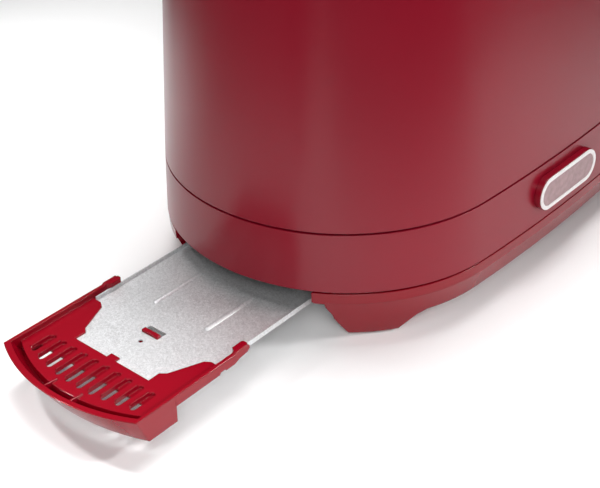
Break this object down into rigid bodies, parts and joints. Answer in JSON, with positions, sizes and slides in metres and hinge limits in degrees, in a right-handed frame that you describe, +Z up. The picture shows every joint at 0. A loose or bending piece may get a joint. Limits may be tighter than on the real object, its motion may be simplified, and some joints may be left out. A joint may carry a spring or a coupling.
{
  "type": "pop up toaster",
  "caption": "Oval pop up toaster with bread slots in the top, a lift lever, a browning knob, push buttons and a pull-out crumb tray at the opposite end.",
  "frame": {"origin": "bottom centre of the whole object's box with the crumb tray drawn out, on the table", "axes": "+X along the toaster towards its controls, the crumb tray comes out towards -X; +Y towards the side without the badge; +Z up"},
  "size_m": [0.4191, 0.1936, 0.2008],
  "materials": {
    "red_paint": "satin red enamel",
    "panel_black": "gloss black",
    "deck_steel": "brushed",
    "bright_chrome": "polished",
    "black_plastic": "matt black",
    "red_plastic": "gloss red moulding",
    "galvanised_steel": "galvanised, spangled",
    "foot_rubber": "soft rubber",
    "badge_red": "gloss dark red",
    "badge_enamel": "dull enamel",
    "badge_white": "white enamel line",
    "mica_sheet": "mica",
    "heater_ribbon": "flat resistance ribbon",
    "plated_wire": "zinc plated",
    "coil_copper": "enamelled copper",
    "knob_black": "black with a fine ridge",
    "board_green": "green solder mask",
    "terminal_ivory": "ivory moulding"
  },
  "bodies": {
    "toaster": {"outer_shell": "red_paint", "lower_band": "red_paint", "control_panel": "panel_black", "top_deck": "deck_steel", "slot_bezel_front": "bright_chrome", "slot_bezel_rear": "bright_chrome", "chassis_ring": "black_plastic", "cord_gland": "black_plastic", "base_skirt": "red_plastic", "base_plate": "galvanised_steel", "foot_pads": "foot_rubber", "badge_plinth": "badge_red", "badge_face": "badge_enamel", "badge_ring": "badge_white", "chamber_end_left": "galvanised_steel", "chamber_end_right": "galvanised_steel", "heat_shield_front": "galvanised_steel", "heat_shield_rear": "galvanised_steel", "heater_card_front": "mica_sheet", "heater_card_middle": "mica_sheet", "heater_card_rear": "mica_sheet", "heater_ribbons": "heater_ribbon", "guide_rods": "plated_wire", "frame_bracket_bottom": "galvanised_steel", "frame_bracket_top": "galvanised_steel", "electromagnet": "coil_copper", "carriage_spring": "plated_wire", "potentiometer": "black_plastic", "tact_switches": "black_plastic", "circuit_board": "board_green", "board_posts": "galvanised_steel", "contact_switch": "black_plastic", "terminal_block": "terminal_ivory", "transformer": "black_plastic", "base_screws": "plated_wire", "board_screws": "plated_wire", "tray_rail_front": "galvanised_steel", "tray_rail_rear": "galvanised_steel"},
    "carriage": {"carriage_bracket": "galvanised_steel", "latch_keeper": "plated_wire", "lever_arm": "galvanised_steel", "lever_knob": "bright_chrome", "bread_rack_front": "plated_wire", "bread_rack_rear": "plated_wire"},
    "crumb_tray": {"tray_front": "red_plastic", "tray_sheet": "galvanised_steel", "tray_catch": "red_plastic"},
    "browning_knob": {"browning_knob": "knob_black"},
    "bread_guard_front_outer": {"bread_guard_front_outer": "plated_wire"},
    "bread_guard_front_inner": {"bread_guard_front_inner": "plated_wire"},
    "bread_guard_rear_inner": {"bread_guard_rear_inner": "plated_wire"},
    "bread_guard_rear_outer": {"bread_guard_rear_outer": "plated_wire"},
    "cancel_button": {"cancel_button": "bright_chrome"},
    "reheat_button": {"reheat_button": "bright_chrome"},
    "defrost_button": {"defrost_button": "bright_chrome"},
    "bagel_button": {"bagel_button": "bright_chrome"}
  },
  "joints": [
    {"name": "crumb_tray_slide", "type": "slide", "parent": "toaster", "child": "crumb_tray", "axis": [-1, 0, 0], "range_m": [-0.1104, 0.095]},
    {"name": "carriage_lift", "type": "slide", "parent": "toaster", "child": "carriage", "axis": [0, 0, -1], "range_m": [0, 0.06], "stiffness_N_per_m": 60, "springref_m": -0.06, "deforming": ["carriage_spring"]},
    {"name": "browning_turn", "type": "hinge", "parent": "toaster", "child": "browning_knob", "pos_m": [0.19835, 0, 0.082], "axis": [1, 0, 0], "range_deg": [-135, 135]},
    {"name": "bread_guard_front_outer_slide", "type": "slide", "parent": "toaster", "child": "bread_guard_front_outer", "axis": [0, 1, 0], "range_m": [0, 0.00501]},
    {"name": "bread_guard_front_inner_slide", "type": "slide", "parent": "toaster", "child": "bread_guard_front_inner", "axis": [0, -1, 0], "range_m": [0, 0.00501]},
    {"name": "bread_guard_rear_inner_slide", "type": "slide", "parent": "toaster", "child": "bread_guard_rear_inner", "axis": [0, 1, 0], "range_m": [0, 0.00501]},
    {"name": "bread_guard_rear_outer_slide", "type": "slide", "parent": "toaster", "child": "bread_guard_rear_outer", "axis": [0, -1, 0], "range_m": [0, 0.00501]},
    {"name": "cancel_button_press", "type": "slide", "parent": "toaster", "child": "cancel_button", "axis": [-1, 0, 0], "range_m": [0, 0.002], "stiffness_N_per_m": 300, "springref_m": -0.002},
    {"name": "reheat_button_press", "type": "slide", "parent": "toaster", "child": "reheat_button", "axis": [-1, 0, 0], "range_m": [0, 0.002], "stiffness_N_per_m": 300, "springref_m": -0.002},
    {"name": "defrost_button_press", "type": "slide", "parent": "toaster", "child": "defrost_button", "axis": [-1, 0, 0], "range_m": [0, 0.002], "stiffness_N_per_m": 300, "springref_m": -0.002},
    {"name": "bagel_button_press", "type": "slide", "parent": "toaster", "child": "bagel_button", "axis": [-1, 0, 0], "range_m": [0, 0.002], "stiffness_N_per_m": 300, "springref_m": -0.002}
  ],
  "couplings": [
    {"joint": "bread_guard_front_outer_slide", "follows": "carriage_lift", "ratio": 0.083333},
    {"joint": "bread_guard_front_inner_slide", "follows": "carriage_lift", "ratio": 0.083333},
    {"joint": "bread_guard_rear_inner_slide", "follows": "carriage_lift", "ratio": 0.083333},
    {"joint": "bread_guard_rear_outer_slide", "follows": "carriage_lift", "ratio": 0.083333}
  ]
}
